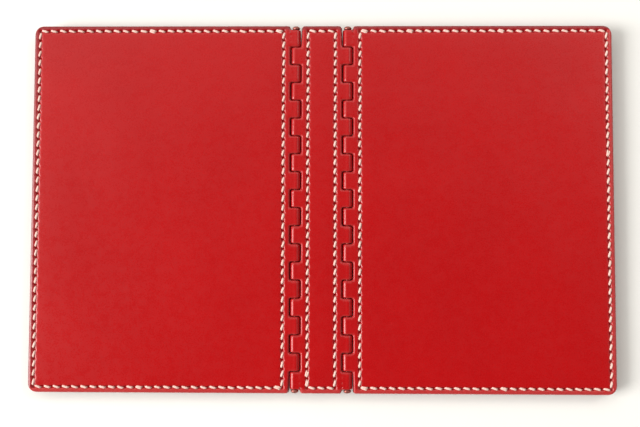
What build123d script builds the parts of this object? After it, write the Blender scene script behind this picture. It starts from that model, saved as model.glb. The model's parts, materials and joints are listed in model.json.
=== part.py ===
from build123d import *
import os

# Card holder: two stiff leather covers and a narrow spine, lying open with the outside up.
# Each cover is joined to the spine by leather fingers wrapped round a steel pin.
# +X runs across the spine towards the right cover, +Y along the spine towards the top edge, +Z up.
# The origin is at the middle of the spine, on the plane that the card pockets rest on.
# The right-hand pieces are modelled, and the left-hand ones mirror them.

# Seams and outline, millimetres
stitch_pitch = 3.38
cover_stitches = 27  # along each short seam of a cover
spine_stitches = 3  # along each short seam of the spine
long_stitches = 39  # along every long seam
edge_margin = 2.09  # seam to the top and bottom edges
outer_margin = 2.15  # seam to the outer edge of a cover
seam_to_axis = 4.56  # hinge axis to the long seam on either side of it
outer_corner_r = 3.3
hinge_corner_r = 0.8
edge_round = 0.5

# Hinges
knuckle_r = 1.7  # outside of the wrapped leather, and half the thickness of the shell
pin_r = 0.6
cap_r = 1.4
cap_length = 1.2
cap_gap = 0.1  # beyond the row of fingers, at each end
running_gap = 0.05  # round the pin, in the fingers that turn on it
grip_gap = 0.01  # round the pin, in the fingers and caps that hold it
fingers = 20  # on each hinge, cover and spine in turn, the top one on the cover
finger_gap = 0.2
notch_reach = 2.35  # hinge axis to the bottom of a notch
notch_round = 0.4
cover_flap = 7.5  # hinge axis to the end of the returned leather
butt_gap = 0.1  # between sheets that meet edge to edge
core_clearance = 0.4  # pin bore to the core's tongues

# Pockets and linings
pocket_thickness = 0.7
card_gap = 0.8  # room for one bank card
pocket_inset = 3.0  # hinge axis to the pockets' near edge
pocket_shoulder = 1.0  # seam to the start of the raised panel
shoulder_angle = 40
nesting_gap = 0.1  # from the front panel's shoulder to the back panel's
spine_lining_width = 13.2
# Rows of pockets, as stitches counted up the long seam: bottom edge, back pocket's top, front pocket's top
pocket_rows = {"lower": (0, 16, 12), "upper": (20, 36, 32)}

# Thread
thread_width = 0.8
thread_rise = 0.35
thread_length = 0.78 * stitch_pitch
thread_lean = 12

# Derived sizes
length = long_stitches * stitch_pitch + 2 * edge_margin
seam_y = long_stitches * stitch_pitch / 2
spine_seam = spine_stitches * stitch_pitch / 2
axis_x = spine_seam + seam_to_axis
near_seam = axis_x + seam_to_axis
far_seam = near_seam + cover_stitches * stitch_pitch
cover_edge = far_seam + outer_margin

finger_field = length - 2 * (cap_length + cap_gap)
finger_pitch = finger_field / fingers
cover_bore = pin_r + running_gap
spine_bore = pin_r + grip_gap
cap_base = finger_field / 2 + cap_gap

lining_z = 2 * (pocket_thickness + card_gap)
axis_z = lining_z + knuckle_r
top_z = axis_z + knuckle_r
back_flange_z = lining_z - pocket_thickness
front_flange_z = back_flange_z - pocket_thickness


def finger_centres(first):
    """Y of every other finger, counted from the top edge, starting with finger number first."""
    return [finger_field / 2 - (k + 0.5) * finger_pitch for k in range(first, fingers, 2)]


def hole_y(number):
    """Y of an awl hole of the long seams, counted up from the bottom."""
    return -seam_y + number * stitch_pitch


def wrapped_section(bore, reach, flap):
    """Section of leather that comes in flat from reach, turns round the pin and returns as a flap."""
    with BuildSketch() as section:
        with BuildLine():
            Line((reach, knuckle_r), (0, knuckle_r))
            ThreePointArc((0, knuckle_r), (-knuckle_r, 0), (0, -knuckle_r))
            Polyline((0, -knuckle_r), (flap, -knuckle_r), (flap, -bore), (0, -bore))
            ThreePointArc((0, -bore), (-bore, 0), (0, bore))
            Polyline((0, bore), (reach, bore), (reach, knuckle_r))
        make_face()
    return section.sketch


def notch_plan(centres, side):
    """Plan of the room for the other body's fingers and for the pin caps, rounded at its bottom.
    side is the bottom's place along X: 0 for the spine's notches, -1 for the cover's."""
    with BuildSketch() as plan:
        with Locations(*[(axis_x, y) for y in centres]):
            Rectangle(2 * notch_reach, finger_pitch + finger_gap)
        with Locations((axis_x, length / 2), (axis_x, -length / 2)):
            Rectangle(2 * notch_reach, length - finger_field + finger_gap)
        fillet(plan.vertices().group_by(Axis.X)[side], radius=notch_round)
    return plan.sketch


def end_corners(shape, x):
    """Upright edges at the top and bottom ends of a shape, at a distance x from the middle of the spine."""
    ends = shape.edges().filter_by(Axis.Z).filter_by(lambda edge: abs(edge.center().Y) > length / 2 - 0.01)
    return ends.filter_by(lambda edge: abs(abs(edge.center().X) - x) < 0.01)


def outer_rim(shape):
    """Edges of the top face round the outline, without those of the notches."""
    rim = shape.faces().sort_by(Axis.Z)[-1].edges()
    return rim.filter_by(
        lambda edge: abs(edge.center().Y) > length / 2 - outer_corner_r
        or edge.center().X > cover_edge - outer_corner_r
    )


def flat_layer(x_near, z_low, thickness):
    """A flat layer of the cover, from x_near to the outer edge."""
    with BuildPart() as layer:
        with BuildSketch(Plane.XY.offset(z_low)):
            with Locations(((x_near + cover_edge) / 2, 0)):
                Rectangle(cover_edge - x_near, length)
        extrude(amount=thickness)
        fillet(end_corners(layer, cover_edge), radius=outer_corner_r)
    return layer.part


def pocket_panel(y_low, y_high, flange_z, drop, shoulder):
    """A card pocket: a flange along its three sewn sides, and a panel raised by drop, open at the top."""
    x_low, x_high = near_seam + shoulder, far_seam - shoulder
    raised_low = y_low + edge_margin + shoulder
    raised_high = y_high + 2 * drop  # beyond the open edge, so that the cut leaves no shoulder there
    with BuildPart() as panel:
        with BuildSketch(Plane.XY.offset(flange_z)):
            with Locations(((axis_x + pocket_inset + cover_edge) / 2, (y_low + y_high) / 2)):
                Rectangle(cover_edge - axis_x - pocket_inset, y_high - y_low)
        extrude(amount=pocket_thickness)
        for corner in end_corners(panel, cover_edge):
            fillet(corner, radius=outer_corner_r)
        for level, mode in ((flange_z, Mode.ADD), (flange_z + pocket_thickness, Mode.SUBTRACT)):
            with BuildSketch(Plane.XY.offset(level)):
                with Locations(((x_low + x_high) / 2, (raised_low + raised_high) / 2)):
                    Rectangle(x_high - x_low, raised_high - raised_low)
            extrude(amount=-drop, taper=shoulder_angle, mode=mode)
        split(bisect_by=Plane.XZ.offset(-y_high), keep=Keep.TOP)
    return panel.part


def thread_bars(places, z, rise):
    """Stitches as short bars of thread on the plane z: places are (x, y, angle), and rise is signed."""
    with BuildPart() as bars:
        with BuildSketch(Plane.XY.offset(z)):
            with Locations(*[Location((x, y), angle) for x, y, angle in places]):
                SlotOverall(thread_length, thread_width)
        extrude(amount=rise)
    return bars.part


def cross_row(x_low, y, numbers):
    """Stitch places of a seam along X, for the stitches numbered from its start at x_low."""
    return [(x_low + (k + 0.5) * stitch_pitch, y, -thread_lean) for k in numbers]


def seam_round(x_low, stitches_across):
    """Stitch places round a rectangular seam that starts at x_low."""
    long_sides = (x_low, x_low + stitches_across * stitch_pitch)
    places = [(x, hole_y(k + 0.5), 90 - thread_lean) for x in long_sides for k in range(long_stitches)]
    for y in (-seam_y, seam_y):
        places += cross_row(x_low, y, range(stitches_across))
    return places


def underside_z(y):
    """Lowest face of the cover's stack under its seam, at the height y."""
    for bottom, back_top, front_top in pocket_rows.values():
        if hole_y(bottom) - 0.01 < y < hole_y(front_top):
            return front_flange_z
        if hole_y(front_top) < y < hole_y(back_top):
            return back_flange_z
    return lining_z


cover_notches = notch_plan(finger_centres(1), side=-1)
spine_notches = notch_plan(finger_centres(0), side=0)

# Cover shell: outer leather with its fingers, stiff core and lining
with BuildPart() as cover_leather:
    with BuildSketch(Plane((axis_x, 0, axis_z), x_dir=(1, 0, 0), z_dir=(0, -1, 0))):
        add(wrapped_section(cover_bore, cover_edge - axis_x, cover_flap))
    extrude(amount=length / 2, both=True)
    extrude(cover_notches, amount=top_z, mode=Mode.SUBTRACT)
    fillet(end_corners(cover_leather, cover_edge), radius=outer_corner_r)
    fillet(end_corners(cover_leather, axis_x + notch_reach), radius=hinge_corner_r)
    fillet(outer_rim(cover_leather), radius=edge_round)

with BuildPart() as cover_core:
    add(flat_layer(axis_x + cover_bore + core_clearance, axis_z - cover_bore, 2 * cover_bore))
    extrude(cover_notches, amount=top_z, mode=Mode.SUBTRACT)
    fillet(end_corners(cover_core, axis_x + notch_reach), radius=hinge_corner_r)

with BuildPart() as cover_lining:
    add(flat_layer(axis_x + cover_flap + butt_gap, lining_z, knuckle_r - cover_bore))

right_pieces = {"cover_leather": cover_leather, "cover_core": cover_core, "cover_lining": cover_lining}

# Cover pockets: two rows, each a back pocket with a shallower front pocket over it
for row, (bottom, back_top, front_top) in pocket_rows.items():
    row_low = hole_y(bottom) if bottom else -length / 2
    with BuildPart() as back_pocket:
        add(pocket_panel(row_low, hole_y(back_top), back_flange_z, card_gap, pocket_shoulder + nesting_gap))
    with BuildPart() as front_pocket:
        add(pocket_panel(row_low, hole_y(front_top), front_flange_z, front_flange_z, pocket_shoulder))
    right_pieces[row + "_back_pocket"] = back_pocket
    right_pieces[row + "_front_pocket"] = front_pocket

# Cover thread: the seam round the cover on both faces, and the cross seam under the upper pockets
cover_seam = seam_round(near_seam, cover_stitches)
with BuildPart() as seam_stitching:
    add(thread_bars(cover_seam, top_z, thread_rise))
    for level in (front_flange_z, back_flange_z, lining_z):
        add(thread_bars([p for p in cover_seam if underside_z(p[1]) == level], level, -thread_rise))

cross_seam_y = hole_y(pocket_rows["upper"][0]) + edge_margin
with BuildPart() as pocket_stitching:
    cross_seam = cross_row(near_seam, cross_seam_y, range(1, cover_stitches - 1))
    add(thread_bars(cross_seam, front_flange_z, -thread_rise))

right_pieces |= {"seam_stitching": seam_stitching, "pocket_stitching": pocket_stitching}

# Hinge: steel pin, and a domed cap on each end of it
with BuildPart() as hinge_pin:
    with BuildSketch(Plane((axis_x, 0, axis_z), z_dir=(0, 1, 0))):
        Circle(pin_r)
    extrude(amount=cap_base + cap_length / 2, both=True)

with BuildPart() as pin_cap_top:
    with BuildSketch(Plane((axis_x, cap_base, axis_z))):
        with BuildLine():
            Polyline((0, cap_length), (0, 0), (cap_r, 0), (cap_r, cap_length / 4))
            TangentArc((0, cap_length), (cap_r, cap_length / 4), tangent=(1, 0))
        make_face()
    revolve(axis=Axis((axis_x, 0, axis_z), (0, 1, 0)))
    with BuildSketch(Plane((axis_x, cap_base, axis_z), z_dir=(0, 1, 0))):
        Circle(spine_bore)
    extrude(amount=cap_length / 2 + grip_gap, mode=Mode.SUBTRACT)

with BuildPart() as pin_cap_bottom:
    mirror(pin_cap_top.part, about=Plane.XZ)

right_pieces |= {"hinge_pin": hinge_pin, "pin_cap_top": pin_cap_top, "pin_cap_bottom": pin_cap_bottom}

# Spine: outer leather with fingers on both sides, core, and a lining over the joint of the two flaps
with BuildPart() as spine_leather:
    with BuildSketch(Plane((axis_x, 0, axis_z), x_dir=(-1, 0, 0), z_dir=(0, 1, 0))):
        add(wrapped_section(spine_bore, axis_x, axis_x - butt_gap / 2))
    extrude(amount=length / 2, both=True)
    extrude(spine_notches, amount=top_z, mode=Mode.SUBTRACT)
    mirror(about=Plane.YZ)
    fillet(end_corners(spine_leather, axis_x - notch_reach), radius=hinge_corner_r)
    fillet(outer_rim(spine_leather), radius=edge_round)

with BuildPart() as spine_core:
    with BuildSketch(Plane.XY.offset(axis_z - spine_bore)):
        Rectangle(2 * (axis_x - spine_bore - core_clearance), length)
    extrude(amount=2 * spine_bore)
    extrude(spine_notches, amount=top_z, mode=Mode.SUBTRACT)
    extrude(mirror(spine_notches, about=Plane.YZ), amount=top_z, mode=Mode.SUBTRACT)
    fillet(end_corners(spine_core, axis_x - notch_reach), radius=hinge_corner_r)

with BuildPart() as spine_lining:
    with BuildSketch(Plane.XY.offset(lining_z)):
        Rectangle(spine_lining_width, length)
    extrude(amount=-pocket_thickness)

with BuildPart() as spine_stitching:
    spine_seam_places = seam_round(-spine_seam, spine_stitches)
    add(thread_bars(spine_seam_places, top_z, thread_rise))
    add(thread_bars(spine_seam_places, lining_z - pocket_thickness, -thread_rise))

pieces = {
    "spine_leather": spine_leather.part,
    "spine_core": spine_core.part,
    "spine_lining": spine_lining.part,
    "spine_stitching": spine_stitching.part,
}
for name, right_piece in right_pieces.items():
    with BuildPart() as left_piece:
        mirror(right_piece.part, about=Plane.YZ)
    pieces["right_" + name] = right_piece.part
    pieces["left_" + name] = left_piece.part

os.makedirs("parts", exist_ok=True)
for name, piece in pieces.items():
    piece.label = name
    export_step(piece, f"parts/{name}.step")
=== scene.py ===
import json
import math

import bpy
import numpy as np
from mathutils import Matrix, Vector, kdtree
from mathutils.geometry import delaunay_2d_cdt


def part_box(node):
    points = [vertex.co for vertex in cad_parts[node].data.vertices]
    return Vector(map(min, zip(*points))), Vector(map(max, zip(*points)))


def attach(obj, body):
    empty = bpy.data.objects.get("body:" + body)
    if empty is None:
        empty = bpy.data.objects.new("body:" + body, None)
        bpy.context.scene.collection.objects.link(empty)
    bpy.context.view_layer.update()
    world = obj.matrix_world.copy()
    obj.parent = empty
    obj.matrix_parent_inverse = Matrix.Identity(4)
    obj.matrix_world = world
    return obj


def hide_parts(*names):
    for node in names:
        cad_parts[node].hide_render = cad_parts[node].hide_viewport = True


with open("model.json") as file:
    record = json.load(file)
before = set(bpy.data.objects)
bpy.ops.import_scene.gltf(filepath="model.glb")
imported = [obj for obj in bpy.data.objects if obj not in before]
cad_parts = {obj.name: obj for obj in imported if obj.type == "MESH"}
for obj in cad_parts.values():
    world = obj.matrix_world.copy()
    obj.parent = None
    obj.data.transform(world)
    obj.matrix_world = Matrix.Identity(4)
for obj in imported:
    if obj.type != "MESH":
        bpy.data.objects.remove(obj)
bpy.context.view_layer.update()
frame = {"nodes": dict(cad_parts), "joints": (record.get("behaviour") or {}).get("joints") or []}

# A red leather card holder that lies open with its outside up: two covers, a spine, and two knuckle hinges.
# Sizes are in millimetres, in the part's frame. Meshes are scaled to metres when they are made.
# Every piece of the right cover is made once more, mirrored, for the left cover.

MM = 0.001


def box(node):
    """A CAD node's lowest and highest corners, in millimetres."""
    return [np.array(corner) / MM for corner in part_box(node)]


# Sizes read from the frame
right_hinge = next(joint for joint in frame["joints"] if joint["name"] == "right_hinge")
axis_x, axis_z = right_hinge["pos_m"][0] / MM, right_hinge["pos_m"][2] / MM
cover_edge, half_length, top_z = box("right_cover_leather")[1]
knuckle_r = top_z - axis_z
lining_z = axis_z - knuckle_r
flap_reach = box("right_cover_lining")[0][0] - axis_x
pin_r = (box("right_hinge_pin")[1][0] - box("right_hinge_pin")[0][0]) / 2
cap_base = box("right_pin_cap_top")[0][1]

# Seams
stitch_pitch = 3.38
cover_stitches = 27
spine_stitches = 3
long_stitches = 39
seam_to_axis = 4.56
seam_y = long_stitches * stitch_pitch / 2
near_seam = axis_x + seam_to_axis
far_seam = near_seam + cover_stitches * stitch_pitch
spine_seam = spine_stitches * stitch_pitch / 2
groove_depth = 0.34
groove_half_width = 0.42
# painted shade in the seam's groove and in its awl holes
groove_shade = 0.4
groove_shade_reach = 0.55
hole_shade = 0.95
lining_relief = 0.7  # of the groove's depth, in the spine's lining
pocket_relief = 0.8
cross_groove = 0.7
hole_depth = 0.5
hole_length = 0.6
hole_width = 0.42
slit_lean = 45
margin_drop = 0.35  # how far the margin sinks from the seam to the edge
lining_roll = 0.6  # of that, on the inside
seam_pull = 0.1  # how far the seam draws the leather down beside it
thread_low = groove_depth + seam_pull
pull_reach = 1.7

# Unevenness
wave_count = 7
wave_lengths = (22, 75)
cover_wave = 0.07
spine_wave = 0.04
lining_wave = 0.03
pocket_wave = 0.05
pocket_wave_start = 20  # from the bottom of a pocket to where it is full

# Thread
thread_width = 0.87
thread_height = 0.62
thread_lean = 16
thread_share = 0.42  # of the stitch pitch, from the middle of a stitch to its end
thread_stand = 0.22  # middle of the thread above the bottom of its groove
thread_rise = 0.35  # of its height, on top of that
thread_dive = 0.7  # how far its ends go down into the holes
dive_power = 4  # how suddenly they do
thread_plies = 3
thread_turns = 1.15  # of the plies round each other, in one stitch
ply_depth = 0.13  # of the thread's radius, between two plies
valley_power = 1.5
thread_tip = 0.34  # of its width, at its ends
tip_power = 2.6  # how suddenly it tapers
thread_stations = 17
station_power = 0.92  # their spacing: below 1 they are closer at the ends
thread_sides = 12
doubled_strands = ((-0.26, -4.0, 0.86), (0.26, 5.0, 0.86))  # each strand's offset, skew in degrees, and size
turn_spread = 2.0
length_spread = 0.04
width_spread = 0.06
sway_spread = 0.05
lift_spread = 0.02

# Hinges
finger_count = 20
finger_gap = 0.14
cap_gap = 0.1
notch_reach = 2.1  # hinge axis to the foot of a notch's wall
notch_round = 0.8
end_gap = (-0.1, 0.3)  # how much wider the open notch at the end of a hinge is, at its closed and its open end
notch_roll = 0.25  # the leather rolls down to a notch this much, over these distances
root_roll_reach = 0.85
side_roll_reach = 0.5
knuckle_bulge = 0.17
bulge_span = (-0.5, 0.7)  # from the axis, in knuckle radii: where the bulge starts and where it is full
bulge_end = 0.9  # of the half turn
outer_corner_r = 3.3
inner_corner_r = 0.6  # of linings and pockets, where they butt or open
cover_bore = pin_r + 0.05
spine_bore = pin_r + 0.01
finger_field = 2 * (cap_base - cap_gap)
finger_pitch = finger_field / finger_count
half_gap = finger_gap / 2
half_notch = finger_pitch / 2 + half_gap
recess = finger_field / 2 - half_gap  # from the middle to the notch beyond the last finger
half_turn = math.pi * knuckle_r
cover_flap_gap = 0.1  # from its flap to the lining
spine_flap_gap = 0.05  # from its flaps to the middle

# Pin caps
cap_steps = 9
cap_sides = 40
cap_foot = 0.93  # of the cap's radius, where it meets the fingers
cap_rim = 0.3  # of its height, where the dome starts
cap_fullness = 0.7  # how square the dome is
cap_lobes = 5  # marks of the tool that pressed it
cap_facet = 0.015

# Edges
thick_rounding = (0.5, 0.8)  # how far in from an edge its rounding starts, and how deep it goes
thin_rounding = (0.3, 0.3)
edge_slack = 0.03  # least height of the wall under the rounding
edge_clear = 0.08  # from the start of the rounding to the points that fill the sheet
back_clear = 0.25
sharp_angle = 40
layer_nick = 0.12  # the small step that shows between two glued layers
# strength of the margins' burnish, and of their painted reflection where the margin's paint is below 0
margin_burnish_and_sheen = 0.85
top_burnish = 0.2  # of a cut edge's, where its rounding meets the face
dye_reach = 1.1  # outside the seam, where the margin's burnish and painted reflection are full
painted_margin_sheen = -0.6  # painted reflection on the right and bottom margins: below 0, they are painted paler than the face
# cut walls within the seams, as at the notches, are painted paler: the raw edge's own tone with painted light
# on it
raw_and_lit_cut_walls = -0.9
# painted shade on the hinge leather where it turns down round the pin; the next line is the span, in knuckle
# radii, over which it grows
knuckle_shade = 0.25
knuckle_shade_span = (0.6, 1.2)
lining_thickness = box("right_cover_lining")[1][2] - lining_z

# Pockets, as in the CAD: rows are stitches counted up the long seam to bottom edge, back top and front top
pocket_rows = {"lower": (0, 16, 12), "upper": (20, 36, 32)}
pocket_thickness = 0.7
thin_nick = 0.08
table_gap = 0.02
card_gap = 0.8
pocket_inset = 3.0
pocket_shoulder = 1.0
nesting_gap = 0.1
shoulder_slope = math.tan(math.radians(40))
edge_margin = half_length - seam_y
back_flange_z = lining_z - pocket_thickness
front_flange_z = back_flange_z - pocket_thickness
crease_from_edge = 1.5
crease_depth = 0.13
crease_half_width = 0.2
# painted shade along the pocket's crease
crease_shade = 0.5
crease_shade_reach = 0.3

# Mesh steps
along_step = stitch_pitch / 13
seam_rows = (0, 0.15, 0.3, 0.45, 0.65, 0.9, 1.25, 1.7)
edge_steps = 5
corner_step = 0.22
coarse_step = 1.6
ring_clear = 0.24  # from the rings of an edge to the points that fill the sheet
line_gap = 0.14  # between points of two rows of a seam
fold_gap = 0.12
wrap_step = 0.33
thin_step = 0.5  # round linings and pockets
flat_step = 6  # over the flat back of a sheet

# Light: the room's brightness by direction, and two area lights
room_light = 1.55
room_colour = (1.0, 0.975, 0.935, 1)
ceiling_light = 0.05  # of the dark patch that flat leather mirrors
dark_ceiling = (0.02, -0.3, 1)
dark_reach = (math.radians(25), math.radians(52))  # from the patch's middle: where it brightens
ring_edge = (math.radians(50), math.radians(62))  # from straight up: where the room dims to the walls
wall_share = 0.16
horizon_edge = (math.radians(74), math.radians(88))
horizon_light = 0.45
bright_side = (-1, -0.1, 0)
side_contrast = 0.52
window_place, window_size, window_power = (-1.72, -0.29, 1.08), 1.1, 45
window_colour = (1.0, 0.985, 0.96)
lamp_place, lamp_size, lamp_power = (1.05, 0.8, 1.35), 0.5, 5
lamp_colour = (1.0, 0.94, 0.87)

# Camera, which looks down on the holder
camera_height = 327.5
camera_aside = (-0.5, -2.2)
camera_tilt = math.radians(-3.26)
camera_swing = math.radians(-0.95)
camera_roll = math.radians(-0.13)
camera_lens = 50
floor_side = 6  # metres

# Leather colours: (base, deeper patches, burnished edge). The burnished edge colour also paints the shade where
# the outer leather turns down round a hinge pin.
outer_red = ((0.475, 0.003, 0.0042), (0.4, 0.002, 0.0034), (0.24, 0.01, 0.014))
lining_red = ((0.37, 0.011, 0.012), (0.29, 0.006, 0.009), (0.2, 0.015, 0.02))
pocket_red = ((0.41, 0.01, 0.011), (0.33, 0.006, 0.009), (0.21, 0.015, 0.02))
# paler tone of a raw cut edge; on the notch walls it also stands for painted light, and on the right and bottom
# margins for a painted reflection
raw_edge_and_sheen = (0.52, 0.072, 0.07)


# ---- outlines

def rounded_loop(corners, step):
    """A closed loop through (x, y, radius) corners, anticlockwise, with its straight sides divided by step."""
    spots = np.array([c[:2] for c in corners], float)
    loop = []
    for k, (x, y, radius) in enumerate(corners):
        here = spots[k]
        back = spots[k - 1] - here
        ahead = spots[(k + 1) % len(spots)] - here
        back, ahead = back / np.linalg.norm(back), ahead / np.linalg.norm(ahead)
        centre = here + radius * (back + ahead)
        pieces = max(3, math.ceil(radius * math.pi / 2 / corner_step))
        for t in np.linspace(0, math.pi / 2, pieces + 1):
            loop.append(centre - radius * (ahead * math.cos(t) + back * math.sin(t)))
    filled = []
    for a, b in zip(loop, loop[1:] + loop[:1]):
        count = max(1, math.ceil(np.linalg.norm(b - a) / step - 1e-6))
        filled += [a + (b - a) * t / count for t in range(count)]
    return np.array(filled)


def rectangle(x_low, x_high, y_low, y_high, radii, step):
    """A rounded rectangle. radii are those of its corners, anticlockwise from the lowest x and y."""
    corners = ((x_low, y_low), (x_high, y_low), (x_high, y_high), (x_low, y_high))
    return rounded_loop([(*corner, radius) for corner, radius in zip(corners, radii)], step)


def offset(loop, distance):
    """The loop moved to its left by distance."""
    ahead = np.roll(loop, -1, axis=0) - loop
    ahead /= np.linalg.norm(ahead, axis=1)[:, None]
    normals = np.stack([-ahead[:, 1], ahead[:, 0]], axis=1)
    mean = normals + np.roll(normals, 1, axis=0)
    mean /= (mean * normals).sum(axis=1)[:, None]
    return loop + mean * distance


def inside(points, loops):
    """Which points are inside the first loop and outside the others, by the even-odd rule."""
    order = np.argsort(points[:, 1])
    heights = points[order, 1]
    found = np.zeros(len(points), bool)
    for loop in loops:
        for (x0, y0), (x1, y1) in zip(loop, np.roll(loop, -1, axis=0)):
            first, last = np.searchsorted(heights, (min(y0, y1), max(y0, y1)))
            if last > first:
                rows = order[first:last]
                crossing = x0 + (heights[first:last] - y0) * (x1 - x0) / (y1 - y0)
                found[rows] ^= points[rows, 0] < crossing
    return found


def apart(points, taken, gap):
    """The points that are at least gap away from every taken one."""
    tree = kdtree.KDTree(len(taken))
    for k, (x, y) in enumerate(taken):
        tree.insert((x, y, 0), k)
    tree.balance()
    keep = [tree.find((x, y, 0))[2] >= gap for x, y in points]
    return points[np.array(keep, bool)]


def loop_edges(loops):
    """Pairs of neighbouring points, numbered through all the loops."""
    edges = []
    for loop in loops:
        start, count = len(edges), len(loop)
        edges += [(start + k, start + (k + 1) % count) for k in range(count)]
    return edges


def triangulate(loops, fill):
    """Triangles between the loops, through the fill points. The loops' points come first."""
    points = np.vstack([*loops, fill])
    found = delaunay_2d_cdt([Vector(p) for p in points], loop_edges(loops), [], 0, 1e-7, False)
    if len(found[0]) != len(points):
        raise ValueError(f"triangulation changed {len(points)} points to {len(found[0])}")
    triangles = np.array(found[2])
    a, b, c = (points[triangles[:, k]] for k in range(3))
    double = (b[:, 0] - a[:, 0]) * (c[:, 1] - a[:, 1]) - (b[:, 1] - a[:, 1]) * (c[:, 0] - a[:, 0])
    keep = inside((a + b + c) / 3, loops) & (np.abs(double) > 1e-7)
    flip = keep & (double < 0)
    triangles[flip] = triangles[flip][:, ::-1]
    return points, triangles[keep]


def grid(x_values, y_values):
    x, y = np.meshgrid(x_values, y_values)
    return np.stack([x.ravel(), y.ravel()], axis=1)


def steps(low, high, step):
    """Evenly spaced values from low to high, about step apart."""
    return np.linspace(low, high, max(2, math.ceil((high - low) / step) + 1))


def field(x_low, x_high, step, y_step=None):
    """Even points from x_low to x_high, over the whole length of the holder."""
    return grid(steps(x_low, x_high, step), steps(-half_length, half_length, y_step or step))


# ---- leather relief

def smooth(t):
    t = np.clip(t, 0, 1)
    return t * t * (3 - 2 * t)


def ramp(value, low, high):
    return smooth((value - low) / (high - low))


def bell(distance, reach=1):
    return np.exp(-((distance / reach) ** 2))


class Seam:
    """A rectangular line of saddle stitches."""

    def __init__(self, x_low, x_high):
        self.x_low, self.x_high = x_low, x_high

    def signed(self, x, y):
        """Distance outside the seam, negative inside."""
        dx = np.maximum(self.x_low - x, x - self.x_high)
        dy = np.abs(y) - seam_y
        return np.hypot(np.maximum(dx, 0), np.maximum(dy, 0)) + np.minimum(np.maximum(dx, dy), 0)

    def holes(self, x, y):
        """Distance to the nearest awl hole, as a share of the slanted hole's size."""
        nearest = np.full(np.shape(x), np.inf)
        for side in (self.x_low, self.x_high):
            along = np.clip(np.round((y + seam_y) / stitch_pitch), 0, long_stitches) * stitch_pitch - seam_y
            nearest = np.minimum(nearest, slit(x - side, y - along, 90 - slit_lean))
        stitches = round((self.x_high - self.x_low) / stitch_pitch)
        for side in (-seam_y, seam_y):
            along = np.clip(np.round((x - self.x_low) / stitch_pitch), 0, stitches) * stitch_pitch + self.x_low
            nearest = np.minimum(nearest, slit(x - along, y - side, -slit_lean))
        return nearest

    def relief(self, x, y):
        """How deep the groove, the holes and the pull of the thread sink the leather."""
        away = np.abs(self.signed(x, y))
        depth = groove_depth * bell(away, groove_half_width) + hole_depth * bell(self.holes(x, y))
        return depth + seam_pull * np.exp(-away / pull_reach)

    def paint(self, x, y, far_side, side_dye_and_sheen, low_dye_and_sheen):
        """Burnish of the margins and of the cut edges, and painted shade in the groove and its holes. Below 0,
        the
        paint is paler: a painted reflection on a margin, and a raw edge with painted light on a cut wall within
        the seam. The last two arguments are the burnish of the far side and of the bottom, below 0 for a
        painted reflection, and the top's is 1."""
        beyond_side = smooth((x - far_side) / dye_reach)
        beyond_end = smooth((np.abs(y) - seam_y) / dye_reach)
        end_dye_and_sheen = np.where(y > 0, 1, low_dye_and_sheen)
        # burnish of the margins; below 0, a paler painted reflection on the right and bottom margins
        margin = beyond_side * side_dye_and_sheen * (1 - beyond_end) + beyond_end * end_dye_and_sheen
        # cut walls within the seam get the paler raw edge with painted light; cut edges of the margins are
        # burnished
        cut = np.where(beyond_side + beyond_end > 0, np.abs(margin), raw_and_lit_cut_walls)
        # painted shade in the groove and the awl holes
        painted_shade = groove_shade * bell(self.signed(x, y), groove_shade_reach) + hole_shade * bell(self.holes(x, y))
        return margin_burnish_and_sheen * margin, cut, np.clip(painted_shade, 0, 1)

    def fill(self, x_low, x_high):
        """Points in rows along the seam's four sides, and the gap that each set keeps from the others."""
        offsets = np.array(sorted({-r for r in seam_rows} | set(seam_rows)))
        upright = np.vstack([
            grid(side + offsets, steps(-half_length, half_length, along_step))
            for side in (self.x_low, self.x_high)
        ])
        along = steps(x_low, x_high, along_step)
        level = np.vstack([grid(along, side + offsets) for side in (-seam_y, seam_y)])
        return [(upright, 0), (level, line_gap)]


def slit(x, y, angle):
    """Distance from the middle of a slanted slit, as a share of its size."""
    c, s = math.cos(math.radians(angle)), math.sin(math.radians(angle))
    return np.hypot((x * c + y * s) / hole_length, (y * c - x * s) / hole_width)


def waviness(x, y, seed, height):
    """Slow, shallow unevenness of a glued leather sheet."""
    rng = np.random.default_rng(seed)
    total = np.zeros(np.shape(x))
    for _ in range(wave_count):
        wavelength = rng.uniform(*wave_lengths)
        angle, phase = rng.uniform(0, math.pi), rng.uniform(0, 2 * math.pi)
        across = x * math.cos(angle) + y * math.sin(angle)
        total += np.sin(2 * math.pi * across / wavelength + phase) / wave_count
    return height * total * 2


# ---- sheets of leather

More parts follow.
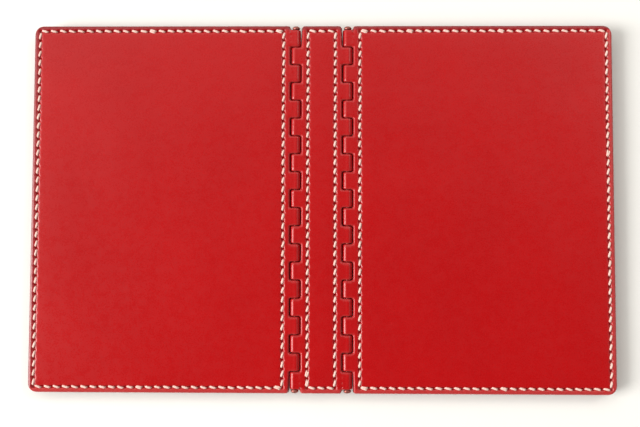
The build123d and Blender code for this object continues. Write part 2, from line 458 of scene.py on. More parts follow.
def sheet(loops, fill, back_fill, place, relief, paint, thickness, rounding=thick_rounding, nick=layer_nick):
    """A closed sheet, as its vertices, faces, and each vertex's painted edge and painted shade. loops are its
    outline and windows, fill is (points, gap) for its show face, and back_fill is points for its back. place(x,
    y, depth) puts points at a depth below the show face, relief(x, y) is how deep the face is sunk there, and
    paint(x, y) is the burnish of the margin, that of the cut edge, and the painted shade of grooves and holes.
    Burnish below 0 is a paler tone: painted light on cut walls and a painted reflection on margins."""
    signs = [1] + [-1] * (len(loops) - 1)  # leather is left of the outline and right of a window
    angles = np.linspace(0, math.pi / 2, edge_steps + 1)
    reach, fall = rounding
    rings = [(reach * (1 - math.cos(t)), fall * (1 - math.sin(t))) for t in angles]
    ring_points, ring_depths = [], []
    for distance, depth in rings[1:]:
        for loop, sign in zip(loops, signs):
            ring_points.append(offset(loop, sign * distance))
            ring_depths.append(np.full(len(loop), depth))
    ring_points, ring_depths = np.vstack(ring_points), np.concatenate(ring_depths)
    boundary = np.vstack(loops)
    free = np.zeros((0, 2))
    for points, gap in fill:
        points = points[inside(points, loops)]
        points = apart(points, np.vstack([boundary, ring_points]), ring_clear)
        if gap and len(free):
            points = apart(points, free, gap)
        points = apart(points, boundary, reach + edge_clear)
        free = np.vstack([free, points])
    points, triangles = triangulate(loops, np.vstack([ring_points, free]))
    edge_depth = np.concatenate([np.full(len(boundary), fall), ring_depths, np.zeros(len(free))])
    vertices = [place(*points.T, np.minimum(edge_depth + relief(*points.T), thickness - nick - edge_slack))]
    burnish = np.concatenate([
        np.ones(len(boundary)),
        top_burnish + (1 - top_burnish) * ring_depths / fall,
        np.zeros(len(free)),
    ])
    margin, cut, painted_shade = paint(*points.T)
    # the edge's paint is burnish with painted shade and, below 0, painted light; the second column is painted
    # shade of grooves and holes
    painted = [np.stack([np.clip(burnish * cut + margin, -1, 1), painted_shade], axis=1)]
    faces = [triangles]
    count = len(points)

    rows = [np.arange(len(boundary))]
    back_loops = [offset(loop, sign * nick) for loop, sign in zip(loops, signs)]
    for row_points, depth in ((boundary, thickness - nick), (np.vstack(back_loops), thickness)):
        vertices.append(place(*row_points.T, np.full(len(boundary), depth)))
        painted.append(np.stack([cut[:len(boundary)], np.zeros(len(boundary))], axis=1))
        rows.append(count + np.arange(len(boundary)))
        count += len(boundary)
    edges = np.array(loop_edges(loops))
    for upper, lower in zip(rows, rows[1:]):
        (a, b), (c, d) = upper[edges.T], lower[edges.T]
        faces += [np.stack([a, c, d], axis=1), np.stack([a, d, b], axis=1)]

    back_free = back_fill[inside(back_fill, loops)]
    back_free = apart(back_free, np.vstack(back_loops), back_clear)
    back_triangles = triangulate(back_loops, back_free)[1]
    vertices.append(place(*back_free.T, np.full(len(back_free), thickness)))
    painted.append(np.zeros((len(back_free), 2)))
    faces.append(back_triangles[:, ::-1] + count - len(boundary))
    return np.vstack(vertices), np.vstack(faces), np.vstack(painted)


def add_piece(name, made, body, slot, material, *nodes, flip=False):
    """A new piece of (vertices, faces, painted values), in millimetres, with its body and material, and the CAD
    nodes that it stands for. slot is not used."""
    vertices, faces, *painted = made
    if flip:
        vertices = vertices * (-1, 1, 1)
        faces = [face[::-1] for face in faces]
    mesh = bpy.data.meshes.new(name)
    mesh.from_pydata((vertices * MM).tolist(), [], [[int(v) for v in face] for face in faces])
    mesh.shade_smooth()
    mesh.set_sharp_from_angle(angle=math.radians(sharp_angle))
    # columns: the edge's burnish with painted shade and painted light, and painted shade in grooves, holes,
    # creases and thread ends
    for values in painted:
        for label, column in zip(("edge", "painted_shade"), values.T):
            attribute = mesh.attributes.new(label, "FLOAT", "POINT")
            attribute.data.foreach_set("value", column.astype(np.float32))
    mesh.materials.append(material)
    obj = bpy.data.objects.new(name, mesh)
    bpy.context.scene.collection.objects.link(obj)
    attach(obj, body)
    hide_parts(*nodes)


# ---- hinge leather

def finger_centres(first):
    return [finger_field / 2 - (k + 0.5) * finger_pitch for k in range(first, finger_count, 2)]


def window(x_low, x_high, y):
    """The outline of a closed notch, round a finger of the other body whose middle is at y."""
    return rectangle(x_low, x_high, y - half_notch, y + half_notch, [notch_round] * 4, wrap_step)


def wrap(along, depth, turn_start):
    """Places leather that is flat on top as far along as turn_start, then goes round the pin and back.
    Returns its distance beyond the hinge axis, and z."""
    beyond = along - turn_start
    radius = knuckle_r - depth
    angle = np.clip(beyond / knuckle_r, 0, math.pi)
    out = radius * np.sin(angle) + np.minimum(beyond, 0) - np.maximum(beyond - half_turn, 0)
    return out, axis_z + radius * np.cos(angle)


def place_cover(u, y, depth):
    """u runs along the leather outwards from the hinge axis, and is negative round the pin and on the flap."""
    out, z = wrap(-u, depth, 0)
    return np.stack([axis_x - out, y, z], axis=1)


def place_spine(u, y, depth):
    """u runs along the leather from the middle of the spine, both ways."""
    out, z = wrap(np.abs(u), depth, axis_x)
    return np.stack([np.sign(u) * (axis_x + out), y, z], axis=1)


def cover_plan(u):
    """x in plan of the cover's leather, on the top or on the flap."""
    return axis_x + np.where(u >= 0, u, np.maximum(-u - half_turn, -knuckle_r))


def margin_roll(outside):
    return margin_drop * np.clip(outside / edge_margin, 0, 1.2) ** 2


def rolled(beyond_root, y, notches):
    """How far the leather sinks towards the notches, which are (low, high) along the hinge."""
    beyond_side = np.min([np.maximum(low - y, y - high) for low, high in notches], axis=0)
    away = np.hypot(np.maximum(beyond_root, 0) / root_roll_reach, np.maximum(beyond_side, 0) / side_roll_reach)
    return notch_roll * np.clip(1 - away, 0, 1) ** 2


def notch_spans(centres, open_low, open_high):
    """The (low, high) of every notch, and of the recesses at the two ends."""
    spans = [(y - half_notch, y + half_notch) for y in centres]
    return spans + [(-2 * half_length, open_low), (open_high, 2 * half_length)]


def knuckle_swell(beyond):
    """How far the wrapped leather bulges where it turns round the pin."""
    return knuckle_bulge * ramp(beyond / knuckle_r, *bulge_span) * (beyond < half_turn * bulge_end)


def knuckle_painted_shade(beyond):
    """Painted shade on the wrapped leather, darkest where it turns down round the pin."""
    return knuckle_shade * ramp(beyond / knuckle_r, *knuckle_shade_span)


def band_fill(x_low, x_high):
    """Even points over the fingers and the leather beside them."""
    return field(x_low, x_high, wrap_step, finger_pitch / 8)


def cover_leather(seed, outer_dye_and_sheen):
    far, flap_end = cover_edge - axis_x, -(half_turn + flap_reach - cover_flap_gap)
    notch_far = -(half_turn + notch_reach)
    centres = finger_centres(1)
    bite = centres[-1] + half_notch
    corners = (
        (flap_end, -half_length), (notch_far, -half_length), (notch_far, bite),
        (notch_reach + end_gap[0], bite), (notch_reach + end_gap[1], -half_length), (far, -half_length),
        (far, half_length), (notch_reach, half_length), (notch_reach, recess),
        (notch_far, recess), (notch_far, half_length), (flap_end, half_length),
    )
    outline = [(x, y, outer_corner_r if x == far else notch_round) for x, y in corners]
    loops = [rounded_loop(outline, wrap_step * 1.2)]
    loops += [window(notch_far, notch_reach, y) for y in centres[:-1]]
    seam = Seam(near_seam, far_seam)
    notches = notch_spans(centres, bite, recess)

    def relief(u, y):
        x = cover_plan(u)
        outside = np.where(x > near_seam, seam.signed(x, y), np.abs(y) - seam_y)
        on_seam = smooth((np.abs(x - axis_x) - knuckle_r) / 0.6)
        roll = rolled(np.maximum(u - notch_reach, notch_far - u), y, notches)
        sunk = seam.relief(x, y) * on_seam + margin_roll(outside)
        return sunk + waviness(x, y, seed, cover_wave) + roll - knuckle_swell(-u)

    def paint(u, y):
        # the outer margin is burnished on the left cover and gets a paler painted reflection on the right
        # cover; the bottom margin gets a painted reflection
        margin, cut, painted_shade = seam.paint(cover_plan(u), y, far_seam, outer_dye_and_sheen, painted_margin_sheen)
        # painted shade where the leather turns down round the pin is added to the margin's paint
        return margin + knuckle_painted_shade(-u), cut, painted_shade

    on_top = [(part - (axis_x, 0), gap) for part, gap in seam.fill(near_seam, cover_edge)]
    under = [(part * (-1, 1) - (half_turn, 0), line_gap) for part, _ in on_top]
    fill = [
        *on_top, *under,
        (band_fill(flap_end, 2 * notch_reach), 0.3),
        (field(0, far, coarse_step), 0.9),
    ]
    back = np.vstack([band_fill(-half_turn - 1, 1), field(flap_end, far, flat_step)])
    return sheet(loops, fill, back, place_cover, relief, paint, knuckle_r - cover_bore)


def spine_leather(seed):
    root = axis_x - notch_reach
    notch_far = axis_x + half_turn + notch_reach
    flap_end = 2 * axis_x + half_turn - spine_flap_gap
    centres = finger_centres(0)
    bite = centres[0] - half_notch
    right = [
        (root, -half_length), (root, -recess), (notch_far, -recess), (notch_far, -half_length),
        (flap_end, -half_length), (flap_end, half_length), (notch_far, half_length), (notch_far, bite),
        (root - end_gap[0], bite), (root - end_gap[1], half_length),
    ]
    corners = right + [(-x, y) for x, y in reversed(right)]
    loops = [rounded_loop([(x, y, notch_round) for x, y in corners], wrap_step * 1.2)]
    for side in (-1, 1):
        loops += [window(*sorted((side * root, side * notch_far)), y) for y in centres[1:]]
    seam = Seam(-spine_seam, spine_seam)
    notches = notch_spans(centres, -recess, bite)

    def plan(u):
        """Distance from the spine's middle, along the leather and in plan."""
        away = np.abs(u)
        returned = np.minimum(2 * axis_x + half_turn - away, axis_x + knuckle_r)
        return away, np.where(away <= axis_x, away, returned)

    def relief(u, y):
        away, x = plan(u)
        roll = rolled(np.maximum(root - away, away - notch_far), y, notches)
        sunk = seam.relief(np.where(away <= axis_x, u, x), y) + margin_roll(np.abs(y) - seam_y)
        return sunk + waviness(u, y, seed, spine_wave) + roll - knuckle_swell(away - axis_x)

    def paint(u, y):
        away, x = plan(u)
        # the spine's bottom margin gets a paler painted reflection
        margin, cut, painted_shade = seam.paint(x, y, 2 * half_length, 0, painted_margin_sheen)
        # painted shade where the leather turns down round the pin is added to the margin's paint
        return margin + knuckle_painted_shade(away - axis_x), cut, painted_shade

    fill = [
        *seam.fill(-spine_seam, spine_seam),
        (band_fill(-flap_end, -spine_seam), 0.3), (band_fill(spine_seam, flap_end), 0.3),
        (field(-axis_x, axis_x, coarse_step / 2, coarse_step), 0.5),
    ]
    back = np.vstack([
        band_fill(axis_x - 1, axis_x + half_turn + 1), band_fill(-axis_x - half_turn - 1, -axis_x + 1),
        field(-flap_end, flap_end, flat_step),
    ])
    return sheet(loops, fill, back, place_spine, relief, paint, knuckle_r - spine_bore)


# ---- flat leather of the inside

def place_under(show_z, swell=lambda x, y: 0):
    """Places a sheet whose show face looks down from show_z, lowered by swell(x, y)."""
    return lambda x, y, depth: np.stack([x, y, show_z + depth - swell(x, y)], axis=1)


def turned(made):
    """The same piece with its faces turned over, for a sheet that is placed upside down."""
    vertices, faces, painted = made
    return vertices, faces[:, ::-1], painted


def cover_lining(seed):
    x_low = axis_x + flap_reach
    radii = (inner_corner_r, outer_corner_r, outer_corner_r, inner_corner_r)
    loops = [rectangle(x_low, cover_edge, -half_length, half_length, radii, thin_step * 1.2)]
    seam = Seam(near_seam, far_seam)

    def relief(x, y):
        sunk = seam.relief(x, y) + lining_roll * margin_roll(seam.signed(x, y))
        return sunk + waviness(x, y, seed, cover_wave)

    coarse = field(x_low, cover_edge, coarse_step * 1.5)
    return turned(sheet(
        loops, [*seam.fill(x_low, cover_edge), (coarse, 1)], coarse[::3], place_under(lining_z), relief,
        lambda x, y: seam.paint(x, y, far_seam, 1, 1), lining_thickness,
    ))


def spine_lining(seed):
    low, high = box("spine_lining")
    loops = [rectangle(low[0], high[0], -half_length, half_length, [inner_corner_r] * 4, thin_step)]
    seam = Seam(-spine_seam, spine_seam)

    def relief(x, y):
        return lining_relief * seam.relief(x, y) + waviness(x, y, seed, lining_wave)

    coarse = field(low[0], high[0], 1, 1.5)
    return turned(sheet(
        loops, [*seam.fill(-spine_seam, spine_seam), (coarse, 0.5)], coarse[::3], place_under(low[2]), relief,
        lambda x, y: seam.paint(x, y, 2 * half_length, 0, 1), high[2] - low[2], thin_rounding, thin_nick,
    ))


def pocket(y_low, y_high, flange_z, drop, shoulder, seed, cross_seam):
    """A card pocket: a flange along its three sewn sides, and a panel raised by drop, open at the top."""
    x_low = axis_x + pocket_inset
    bottom_r = outer_corner_r if y_low < -half_length + 0.01 else inner_corner_r
    radii = (inner_corner_r, bottom_r, inner_corner_r, inner_corner_r)
    loops = [rectangle(x_low, cover_edge, y_low, y_high, radii, thin_step)]
    run = drop * shoulder_slope
    crease_y = y_high - crease_from_edge
    seam = Seam(near_seam, far_seam)

    def swell(x, y):
        away = np.minimum(np.minimum(x - near_seam, far_seam - x), y - y_low - edge_margin) - shoulder
        return drop * smooth(away / run)

    def relief(x, y):
        depth = pocket_relief * seam.relief(x, y)
        if cross_seam is not None:
            depth = depth + cross_relief(x, y, cross_seam)
        crease = np.abs(crease_y - y)
        depth = depth + crease_depth * bell(crease, crease_half_width)
        waves = waviness(x, y, seed, pocket_wave) * smooth((y - y_low) / pocket_wave_start)
        return np.maximum(depth + waves, table_gap)

    def paint(x, y):
        margin, cut, painted_shade = seam.paint(x, y, far_seam, 1, 1)
        crease = np.abs(crease_y - y)
        # painted shade along the crease
        return margin, cut, np.clip(painted_shade + crease_shade * bell(crease, crease_shade_reach), 0, 1)

    shoulder_rows = np.linspace(shoulder - 0.2, shoulder + run + 0.2, 7)
    lines = [
        grid(np.concatenate([near_seam + shoulder_rows, far_seam - shoulder_rows]), steps(y_low, y_high, 0.6)),
        grid(steps(x_low, cover_edge, 0.6), y_low + edge_margin + shoulder_rows),
        grid(steps(x_low, cover_edge, 0.7), crease_y + np.linspace(-0.5, 0.5, 7)),
    ]
    if cross_seam is not None:
        lines.append(grid(steps(near_seam, far_seam, along_step), cross_seam + np.linspace(-0.6, 0.6, 7)))
    coarse = grid(steps(x_low, cover_edge, coarse_step * 1.5), steps(y_low, y_high, coarse_step * 1.5))
    fill = [*seam.fill(x_low, cover_edge), *((line, fold_gap) for line in lines), (coarse, 1)]
    back = np.vstack(lines[:2])
    return turned(sheet(
        loops, fill, np.vstack([back, apart(coarse[::2], back, 1)]), place_under(flange_z, swell),
        relief, paint, pocket_thickness, thin_rounding, thin_nick,
    ))


def cross_relief(x, y, seam_line):
    """Groove and holes of the short seam that closes the upper pockets."""
    along = np.round((x - near_seam) / stitch_pitch) * stitch_pitch + near_seam
    within = (x > near_seam + stitch_pitch / 2) & (x < far_seam - stitch_pitch / 2)
    depth = cross_groove * groove_depth * bell(y - seam_line, groove_half_width)
    return (depth + hole_depth * bell(slit(x - along, y - seam_line, -slit_lean))) * within


# ---- pin caps

def pin_cap(node):
    """A domed cap on the end of a hinge pin: the profile of the dome, spun round the pin."""
    low, high = box(node)
    middle, radius, tall = (low + high) / 2, (high[0] - low[0]) / 2, high[1] - low[1]
    inner, outer = (low[1], high[1]) if middle[1] > 0 else (high[1], low[1])
    turns = np.linspace(0, math.pi / 2, cap_steps + 1)[:-1]
    profile = [(radius * cap_foot, 0), (radius, tall * cap_rim)]
    for turn in turns[1:]:
        along = cap_rim + (1 - cap_rim) * math.sin(turn)
        profile.append((radius * math.cos(turn) ** cap_fullness, tall * along))
    around = np.arange(cap_sides) * 2 * math.pi / cap_sides
    facets = 1 + cap_facet * np.cos(around * cap_lobes)
    vertices = [(middle[0], inner, middle[2])]
    for across, along in profile:
        y = inner + (outer - inner) * along / tall
        for turn, facet in zip(around, facets):
            reach = min(across * facet, radius)
            vertices.append((middle[0] + reach * math.cos(turn), y, middle[2] + reach * math.sin(turn)))
    vertices.append((middle[0], outer, middle[2]))
    faces, last = [], len(vertices) - 1
    for k in range(cap_sides):
        after = (k + 1) % cap_sides
        faces.append((0, 1 + k, 1 + after))
        for ring in range(len(profile) - 1):
            a, b = 1 + ring * cap_sides + k, 1 + ring * cap_sides + after
            faces.append((a, a + cap_sides, b + cap_sides, b))
        start = last - cap_sides
        faces.append((last, start + after, start + k))
    if outer < inner:
        faces = [face[::-1] for face in faces]
    return np.array(vertices), faces


# ---- thread

def hole_y(number):
    return -seam_y + number * stitch_pitch


def seam_places(x_low, across, twice):
    """(x, y, angle, doubled) of the stitches round a rectangular seam. twice holds those that are sewn twice,
    where the thread starts and ends."""
    places = []
    for side, x in enumerate((x_low, x_low + across * stitch_pitch)):
        for k in range(long_stitches):
            places.append((x, hole_y(k + 0.5), 90 - thread_lean, ("side", side, k) in twice))
    for side, y in enumerate((-seam_y, seam_y)):
        for k in range(across):
            places.append((x_low + (k + 0.5) * stitch_pitch, y, -thread_lean, ("end", side, k) in twice))
    return places


def strand(x, y, z, facing, angle, aside, size, rng):
    """Vertices and paint of a stitch's twisted thread, which is aside of its middle at (x, y, z). The paint is
    painted shade in the valleys between plies and where the ends dive into the holes.
    """
    along = np.linspace(-1, 1, thread_stations)
    around = np.arange(thread_sides) * 2 * math.pi / thread_sides
    turn = math.radians(angle + rng.normal(0, turn_spread))
    full_length = stitch_pitch * thread_share / math.cos(math.radians(thread_lean))
    length = full_length * rng.uniform(1 - length_spread, 1 + length_spread)
    width = thread_width * size * rng.uniform(1 - width_spread, 1 + width_spread) / 2
    height = thread_height * size * rng.uniform(1 - width_spread, 1 + width_spread) / 2
    phase = rng.uniform(0, 2 * math.pi)
    sway = rng.normal(0, sway_spread)
    deep = np.abs(along) ** dive_power
    lift = thread_stand + height * thread_rise - (thread_dive + height) * deep
    lift += rng.normal(0, lift_spread)
    taper = thread_tip + (1 - thread_tip) * np.sqrt(np.clip(1 - np.abs(along) ** tip_power, 0, 1))
    ply = thread_plies * (around[None, :] + thread_turns * math.pi * along[:, None]) + phase
    valley = 0.5 - 0.5 * np.cos(ply)
    lobe = 1 - ply_depth * valley ** valley_power
    across = width * taper[:, None] * lobe * np.cos(around)[None, :]
    up = height * taper[:, None] * lobe * np.sin(around)[None, :] + lift[:, None]
    side = across + aside + sway * (1 - along[:, None] ** 2)
    forward = (length * np.sign(along) * np.abs(along) ** station_power)[:, None]
    px = x + forward * math.cos(turn) - side * math.sin(turn)
    py = y + forward * math.sin(turn) + side * math.cos(turn)
    vertices = np.stack([px, py, z + facing * up], axis=2).reshape(-1, 3)
    # painted shade: in the valleys between the plies, and where the ends dive into the holes
    return vertices, np.stack([valley.ravel(), np.repeat(deep, thread_sides)], axis=1)


def thread(*runs):
    """Stitches lying in their groove. A run is (places, level, facing, seed): places are (x, y, angle,
    doubled), level(x, y) is the height of the groove's bottom, and facing is 1 for up and -1 for down."""
    vertices, faces, painted = [], [], []
    for places, level, facing, seed in runs:
        rng = np.random.default_rng(seed)
        for x, y, angle, doubled in places:
            for aside, skew, size in doubled_strands if doubled else ((0.0, 0.0, 1.0),):
                faces += tube_faces(len(vertices) * thread_stations * thread_sides, facing)
                made, paint = strand(x, y, level(x, y), facing, angle + skew, aside, size, rng)
                vertices.append(made)
                painted.append(paint)
    return np.vstack(vertices), faces, np.vstack(painted)


def tube_faces(start, facing):
    """Faces of a closed strand whose rings start at vertex number start."""
    faces = []
    for ring in range(start, start + (thread_stations - 1) * thread_sides, thread_sides):
        for k in range(thread_sides):
            a, b = ring + k, ring + (k + 1) % thread_sides
            faces.append((a, a + thread_sides, b + thread_sides, b)[::facing])
    first = list(range(start, start + thread_sides))
    last = [v + (thread_stations - 1) * thread_sides for v in first]
    return faces + [first[::facing], last[::-facing]]


def underside_z(y):
    """Lowest face of the cover's stack under its seam, at the height y."""
    for bottom, back_top, front_top in pocket_rows.values():
        if hole_y(bottom) - 0.01 < y < hole_y(front_top):
            return front_flange_z
        if hole_y(front_top) < y < hole_y(back_top):
            return back_flange_z
    return lining_z


def cover_thread(mirror, seed):
    """Thread on both faces of a cover, with the doubled stitches of its own side."""
    twice = {("end", 1, 0), ("end", 0, 0), ("end", 0, 15)}
    twice |= {("end", 1, 14)} if mirror else {("end", 1, 5), ("end", 1, 15), ("side", 1, 25)}
    places = seam_places(near_seam, cover_stitches, twice)
    if mirror:  # the lean of the stitches has one hand on both covers
        places = [(x, y, 180 - angle, doubled) for x, y, angle, doubled in places]
    return thread(
        (places, lambda x, y: top_z - thread_low, 1, seed),
        (places, lambda x, y: underside_z(y) + pocket_relief * thread_low, -1, seed + 1),
    )


def cross_thread(mirror, seed):
    """Thread of the seam that closes the bottom of the upper pockets."""
    y = hole_y(pocket_rows["upper"][0]) + edge_margin
    lean = thread_lean if mirror else -thread_lean
    places = [
        (near_seam + (k + 0.5) * stitch_pitch, y, lean, k in (1, cover_stitches - 2))
        for k in range(1, cover_stitches - 1)
    ]
    return thread((places, lambda x, y: front_flange_z + cross_groove * groove_depth, -1, seed))


def spine_thread(seed):
    places = seam_places(-spine_seam, spine_stitches, {("side", 0, 0), ("side", 0, 1)})
    under_z = box("spine_lining")[0][2]
    return thread(
        (places, lambda x, y: top_z - thread_low, 1, seed),
        (places, lambda x, y: under_z + lining_relief * thread_low, -1, seed + 1),
    )


# ---- materials

class Nodes:
    """Short forms for building the nodes of a new material or world."""

    def __init__(self, owner, shader, output):
        owner.use_nodes = True
        self.owner, self.tree = owner, owner.node_tree
        self.tree.nodes.clear()
        self.output = self.node(output)
        self.shader = self.node(shader)
        self.feed(self.output.inputs["Surface"], self.shader.outputs[0])

    def feed(self, socket, value):
        """Links value to the socket if it is a node's output, and sets it otherwise."""
        if isinstance(value, bpy.types.NodeSocket):
            self.tree.links.new(value, socket)
        else:
            socket.default_value = value

    def node(self, kind, inputs=(), **settings):
        made = self.tree.nodes.new("ShaderNode" + kind)
        for key, value in settings.items():
            setattr(made, key, value)
        for key, value in dict(inputs).items():
            self.feed(made.inputs[key], value)
        return made

    def texture(self, kind, size, stretch=(1, 1, 1), turn=0, **settings):
        """Outputs of a texture of size millimetres in object coordinates, drawn out by stretch."""
        place = self.node("Mapping", {
            "Vector": self.node("TexCoord").outputs["Object"],
            "Scale": tuple(1 / MM / s for s in stretch), "Rotation": (0, 0, math.radians(turn)),
        }).outputs["Vector"]
        return self.node(kind, {"Vector": place, "Scale": 1 / size, **settings}).outputs

    def noise(self, size, detail, roughness=0.55, **lie):
        return self.texture("TexNoise", size, Detail=detail, Roughness=roughness, **lie)["Fac"]

    def spread(self, value, low, high, to_low=0.0, to_high=1.0):
        """value from low..high to to_low..to_high, clamped."""
        return self.node("MapRange", {
            "Value": value, "From Min": low, "From Max": high, "To Min": to_low, "To Max": to_high,
        }).outputs["Result"]

    def math(self, operation, *values):
        return self.node("Math", enumerate(values), operation=operation).outputs["Value"]

    def mix(self, share, a, b, most=1):
        """Colours a to b by share, which most scales down."""
        a, b = (value if isinstance(value, bpy.types.NodeSocket) else (*value, 1) for value in (a, b))
        share = share if most == 1 else self.math("MULTIPLY", share, most)
        return self.node("Mix", {0: share, 6: a, 7: b}, data_type="RGBA").outputs[2]

    def patches(self, size, detail, low, high, to_low=0.0, to_high=1.0, **kind):
        """Noise with its values from low to high spread over to_low to to_high."""
        return self.spread(self.noise(size, detail, **kind), low, high, to_low, to_high)

    def painted(self, name):
        return self.node("Attribute", attribute_name=name).outputs["Fac"]

    def set(self, **inputs):
        for key, value in inputs.items():
            self.feed(self.shader.inputs[key.replace("_", " ")], value)

    def finish(self, colour, rough, normal, **others):
        """Sets the shader up, and returns the material."""
        self.set(Base_Color=colour, Roughness=rough, Normal=normal, **others)
        return self.owner

    def bump(self, height, distance, strength, **normal):
        """A bump of distance millimetres."""
        inputs = {"Height": height, "Distance": distance * MM, "Strength": strength}
        return self.node("Bump", {**inputs, **normal}).outputs["Normal"]


def new_material(name):
    return Nodes(bpy.data.materials.new(name), "BsdfPrincipled", "OutputMaterial")


def red_leather(name, base, deep, edge, gloss, grain):
    """Smooth dyed leather: fine pores, mottled dye, faint scratches and dark burnished edges. It has painted
    shade at the seams and where the hinge leather turns down, and paler paint that stands for light on cut
    walls and for a reflection on some margins.
    """
    n = new_material(name)
    fleck = n.patches(0.55, 2, 0.3, 0.75)
    colour = n.mix(n.patches(38, 3, 0.3, 0.7), base, deep, 0.5)
    colour = n.mix(n.patches(6, 4, 0.35, 0.7, roughness=0.6), colour, deep, 0.22)
    colour = n.mix(fleck, colour, deep, 0.3)
    scratch = n.patches(0.5, 2, 0.7, 0.78, stretch=(1, 22, 1), turn=24)
    nick = n.patches(2.6, 4, 0.66, 0.84, roughness=0.65)
    pale = tuple(c * 1.15 + 0.03 for c in base)
    colour = n.mix(n.math("ADD", n.math("MULTIPLY", scratch, 0.5), nick), colour, pale, 0.2)
    uneven = n.patches(1.4, 3, 0.2, 0.6, 0.75, 1.0)
    rim = n.painted("edge")
    # burnished edges, and painted shade where the hinge leather turns down round the pin
    colour = n.mix(n.spread(rim, 0.0, 1.0), colour, edge, uneven)
    # below 0, the paler raw edge: painted light on cut walls, and a painted reflection on the right and bottom
    # margins
    colour = n.mix(n.spread(rim, 0.0, -1.0), colour, raw_edge_and_sheen, uneven)
    # painted shade in grooves, awl holes and creases
    colour = n.mix(n.painted("painted_shade"), colour, tuple(c * 0.45 for c in deep), 0.48)
    rough = n.patches(3.5, 4, 0.2, 0.8, gloss - 0.035, gloss + 0.05)
    rough = n.math("ADD", rough, n.math("MULTIPLY", n.math("SUBTRACT", fleck, 0.5), 0.08))
    pores = n.spread(n.texture("TexVoronoi", 0.62, Randomness=1.0)["Distance"], 0.05, 0.5)
    pebble = n.noise(0.34, 3, roughness=0.6)
    grain_height = n.math("ADD", n.math("MULTIPLY", pores, 0.5), pebble)
    ripple = n.bump(n.noise(9, 2), 0.12, 0.5)
    normal = n.bump(grain_height, 0.036 * grain, 0.6, Normal=ripple)
    return n.finish(colour, rough, normal, Specular_IOR_Level=0.5, Coat_Weight=0.03, Coat_Roughness=0.3)


def core_board(name):
    """Dense middle leather, seen as the middle line of the edges: fibres along the edge, dyed dark red."""
    n = new_material(name)
    fibre = n.patches(0.5, 4, 0.3, 0.7, stretch=(6, 6, 0.5))
    colour = n.mix(fibre, (0.24, 0.016, 0.02), (0.42, 0.03, 0.035))
    colour = n.mix(n.patches(4, 3, 0.45, 0.75, 0.0, 0.5), colour, (0.14, 0.012, 0.014))
    rough = n.patches(1.2, 3, 0.2, 0.8, 0.45, 0.65)
    return n.finish(colour, rough, n.bump(fibre, 0.06, 0.6), Specular_IOR_Level=0.35)


def waxed_thread(name):
    """Pinkish cream waxed linen thread, whose pink is partly painted bounce light from the red leather: fibres
    along the plies, with painted shade where they meet and at the holes.
    """
    n = new_material(name)
    fibre = n.noise(0.12, 3)
    # pinkish cream; the pink is partly painted bounce light from the red leather
    colour = n.mix(n.patches(5, 3, 0.3, 0.7), (0.93, 0.66, 0.595), (0.87, 0.585, 0.505))
    colour = n.mix(n.spread(fibre, 0.35, 0.75), colour, (0.76, 0.49, 0.41), 0.25)
    # painted shade in the valleys between the plies
    colour = n.mix(n.spread(n.painted("edge"), 0.55, 1.0), colour, (0.55, 0.33, 0.24), 0.4)
    # painted shade where the ends dive into the holes
    colour = n.mix(n.painted("painted_shade"), colour, (0.5, 0.2, 0.14), 0.75)
    rough = n.spread(fibre, 0.2, 0.8, 0.45, 0.65)
    normal = n.bump(fibre, 0.04, 0.7)
    return n.finish(colour, rough, normal, Specular_IOR_Level=0.4, Sheen_Weight=0.25, Sheen_Roughness=0.5)


def hinge_steel(name):
    """Drawn steel with fine scratches and a red-brown tone, which is partly a painted reflection of the red
    leather.
    """
    n = new_material(name)
    drawn = n.noise(0.2, 3, stretch=(1, 18, 1))
    tarnish = n.patches(1.3, 4, 0.35, 0.7, roughness=0.65)
    # red-brown tone: partly the metal's own, partly a painted reflection of the red leather; the darker patches
    # are tarnish
    colour = n.mix(tarnish, (0.42, 0.15, 0.125), (0.24, 0.07, 0.06))
    rough = n.math("ADD", n.spread(drawn, 0.2, 0.8, 0.36, 0.5), n.math("MULTIPLY", tarnish, 0.14))
    return n.finish(colour, rough, n.bump(drawn, 0.012, 0.5), Metallic=1.0)


def floor_material(name):
    """Pale matt board. It is clear from beneath, so that views from below show the underside."""
    n = new_material(name)
    colour = n.mix(n.patches(260, 3, 0.3, 0.7), (0.93, 0.93, 0.9), (0.9, 0.9, 0.87))
    n.set(Base_Color=colour, Roughness=0.9, Specular_IOR_Level=0.15)
    clear = n.node("BsdfTransparent").outputs["BSDF"]
    behind = n.node("NewGeometry").outputs["Backfacing"]
    both = n.node("MixShader", {0: behind, 1: n.shader.outputs["BSDF"], 2: clear})
    n.feed(n.output.inputs["Surface"], both.outputs["Shader"])
    return n.owner


# ---- building

def build_cover(side, mirror, seed, looks):
    def add(name, made, slot, material, node):
        add_piece(f"{side}_{name}", made, side + "_cover", slot, looks[material], f"{side}_{node}", flip=mirror)

    # the left cover's outer margin is burnished, and the right cover's gets a paler painted reflection
    outer_dye_and_sheen = 1 if side == "left" else painted_margin_sheen
    add("cover_skin", cover_leather(seed, outer_dye_and_sheen), "outer_leather", "outer", "cover_leather")
    add("cover_inside", cover_lining(seed + 1), "lining_leather", "lining", "cover_lining")
    for row, (bottom, back_top, front_top) in pocket_rows.items():
        low = hole_y(bottom) if bottom else -half_length
        cross = low + edge_margin if bottom else None
        for panel, top, flange, drop, shoulder, own_seed in (
            ("back", back_top, back_flange_z, card_gap, pocket_shoulder + nesting_gap, seed + 2),
            ("front", front_top, front_flange_z, front_flange_z, pocket_shoulder, seed + 3),
        ):
            made = pocket(low, hole_y(top), flange, drop, shoulder, own_seed, cross)
            add(f"{row}_pocket_{panel}", made, "pocket_leather", "pocket", f"{row}_{panel}_pocket")
    add("cover_thread", cover_thread(mirror, seed + 4), "thread", "thread", "seam_stitching")
    add("pocket_thread", cross_thread(mirror, seed + 5), "thread", "thread", "pocket_stitching")


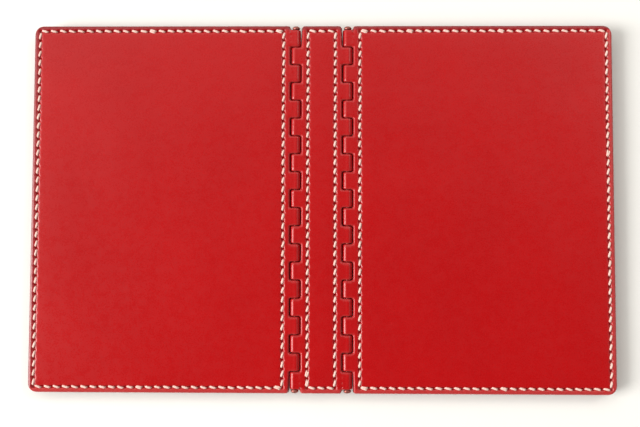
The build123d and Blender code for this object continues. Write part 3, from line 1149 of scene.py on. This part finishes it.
def build_spine(seed, looks):
    for name, made, slot, material, node in (
        ("spine_skin", spine_leather(seed), "outer_leather", "outer", "spine_leather"),
        ("spine_inside", spine_lining(seed + 1), "lining_leather", "lining", "spine_lining"),
        ("spine_thread", spine_thread(seed + 2), "thread", "thread", "spine_stitching"),
    ):
        add_piece(name, made, "spine", slot, looks[material], node)


def build_caps(looks):
    for side in ("left", "right"):
        for end in ("top", "bottom"):
            node = f"{side}_pin_cap_{end}"
            add_piece(f"{side}_{end}_cap", pin_cap(node), "spine", "hinge_metal", looks["steel"], node)


def paint_cad_nodes(looks):
    """Materials of the CAD nodes that stay: the cores and the pins."""
    for name, node in frame["nodes"].items():
        look = "core" if name.endswith("_core") else "steel" if "hinge_pin" in name else None
        if look:
            node.data.materials.clear()
            node.data.materials.append(looks[look])


def build_stage():
    """The floor, at z 0."""
    bpy.ops.mesh.primitive_plane_add(size=floor_side)
    floor = bpy.context.object
    floor.name = "floor"
    floor.data.materials.append(floor_material("pale_board"))


def area_light(name, place, size, power, colour):
    """A square light aimed at the middle of the holder."""
    light = bpy.data.lights.new(name, "AREA")
    light.size = size
    light.energy = power
    light.color = colour
    obj = bpy.data.objects.new(name, light)
    obj.location = place
    obj.rotation_euler = (-Vector(place)).to_track_quat("-Z", "Y").to_euler()
    bpy.context.scene.collection.objects.link(obj)


def build_light():
    """A room that is dark where flat leather mirrors it from above, with a bright ring round that, brighter on
    the left, and dim walls. A window on the left and a weak lamp on the right."""
    world = bpy.data.worlds.new("studio")
    bpy.context.scene.world = world
    n = Nodes(world, "Background", "OutputWorld")
    direction = n.node("TexCoord").outputs["Generated"]

    def towards(vector):
        """Cosine of the angle from the vector, times its length."""
        return n.node("VectorMath", {0: direction, 1: vector}, operation="DOT_PRODUCT").outputs["Value"]

    from_dark = n.math("ARCCOSINE", towards(Vector(dark_ceiling).normalized()))
    from_top = n.math("ARCCOSINE", towards((0, 0, 1)))
    ceiling = n.spread(from_dark, *dark_reach, ceiling_light, room_light)
    walls = n.spread(from_top, *ring_edge, 1, wall_share)
    horizon = n.spread(from_top, *horizon_edge, 0, horizon_light)
    share = n.math("ADD", towards(Vector(bright_side).normalized() * side_contrast), 1.0)
    upper = n.math("MULTIPLY", n.math("MULTIPLY", ceiling, walls), share)
    n.set(Color=room_colour, Strength=n.math("ADD", upper, horizon))
    area_light("window", window_place, window_size, window_power, window_colour)
    area_light("lamp", lamp_place, lamp_size, lamp_power, lamp_colour)


def build_camera():
    camera = bpy.data.cameras.new("camera")
    camera.lens = camera_lens
    camera.clip_start, camera.clip_end = 0.01, 20
    obj = bpy.data.objects.new("camera", camera)
    bpy.context.scene.collection.objects.link(obj)
    turn = (
        Matrix.Rotation(camera_roll, 3, "Z")
        @ Matrix.Rotation(camera_swing, 3, "Y")
        @ Matrix.Rotation(camera_tilt, 3, "X")
    ).transposed()
    place = turn @ Vector((*camera_aside, camera_height)) + Vector((0, 0, top_z))
    obj.matrix_world = Matrix.Translation(place * MM) @ turn.to_4x4()
    bpy.context.scene.camera = obj
    bpy.context.scene.view_settings.view_transform = "Standard"


looks = {
    "outer": red_leather("outer_leather", *outer_red, gloss=0.28, grain=1.0),
    "lining": red_leather("lining_leather", *lining_red, gloss=0.5, grain=1.3),
    "pocket": red_leather("pocket_leather", *pocket_red, gloss=0.46, grain=0.9),
    "core": core_board("core_leather"),
    "thread": waxed_thread("thread"),
    "steel": hinge_steel("hinge_metal"),
}
build_cover("right", False, 11, looks)
build_cover("left", True, 47, looks)
build_spine(83, looks)
build_caps(looks)
paint_cad_nodes(looks)
build_stage()
build_light()
build_camera()
